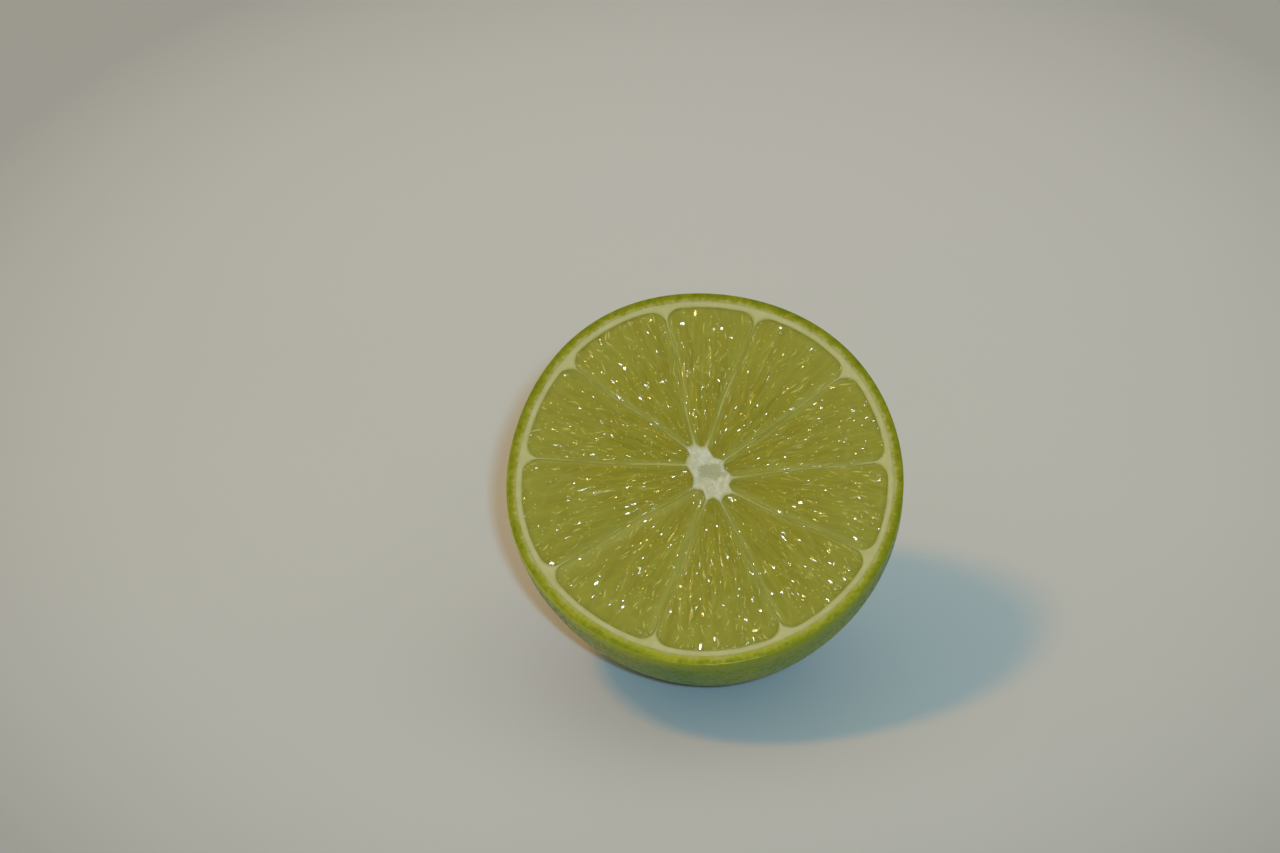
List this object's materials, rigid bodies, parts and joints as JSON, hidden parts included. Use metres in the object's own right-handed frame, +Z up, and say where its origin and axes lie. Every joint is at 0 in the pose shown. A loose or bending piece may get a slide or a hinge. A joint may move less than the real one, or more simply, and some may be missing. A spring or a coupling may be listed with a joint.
{
  "type": "lime half",
  "caption": "Half of a fresh lime cut across the core, with a segmented wet cut face and a rounded green peel, resting tipped on its skin.",
  "frame": {"origin": "middle of the small flat spot on the peel that the half rests on, on the table's surface", "axes": "+Z up off the table; the cut face looks towards -Y and up, its outward normal 41 degrees from +Z; +X to the right across the cut face"},
  "size_m": [0.0518, 0.0498, 0.048],
  "materials": {
    "lime_peel": "waxy green citrus skin with fine oil-gland pits, satin to glossy; the cut edge of the peel is olive green",
    "lime_pith": "moist pale greenish-white pith, soft and matt, with a white core",
    "lime_pulp": "wet translucent yellow-green juice sacs with small bright glints",
    "stem_scar": "dry brown corky scar where the stem broke off"
  },
  "bodies": {
    "root": {"lime_half": "lime_peel"}
  },
  "joints": []
}
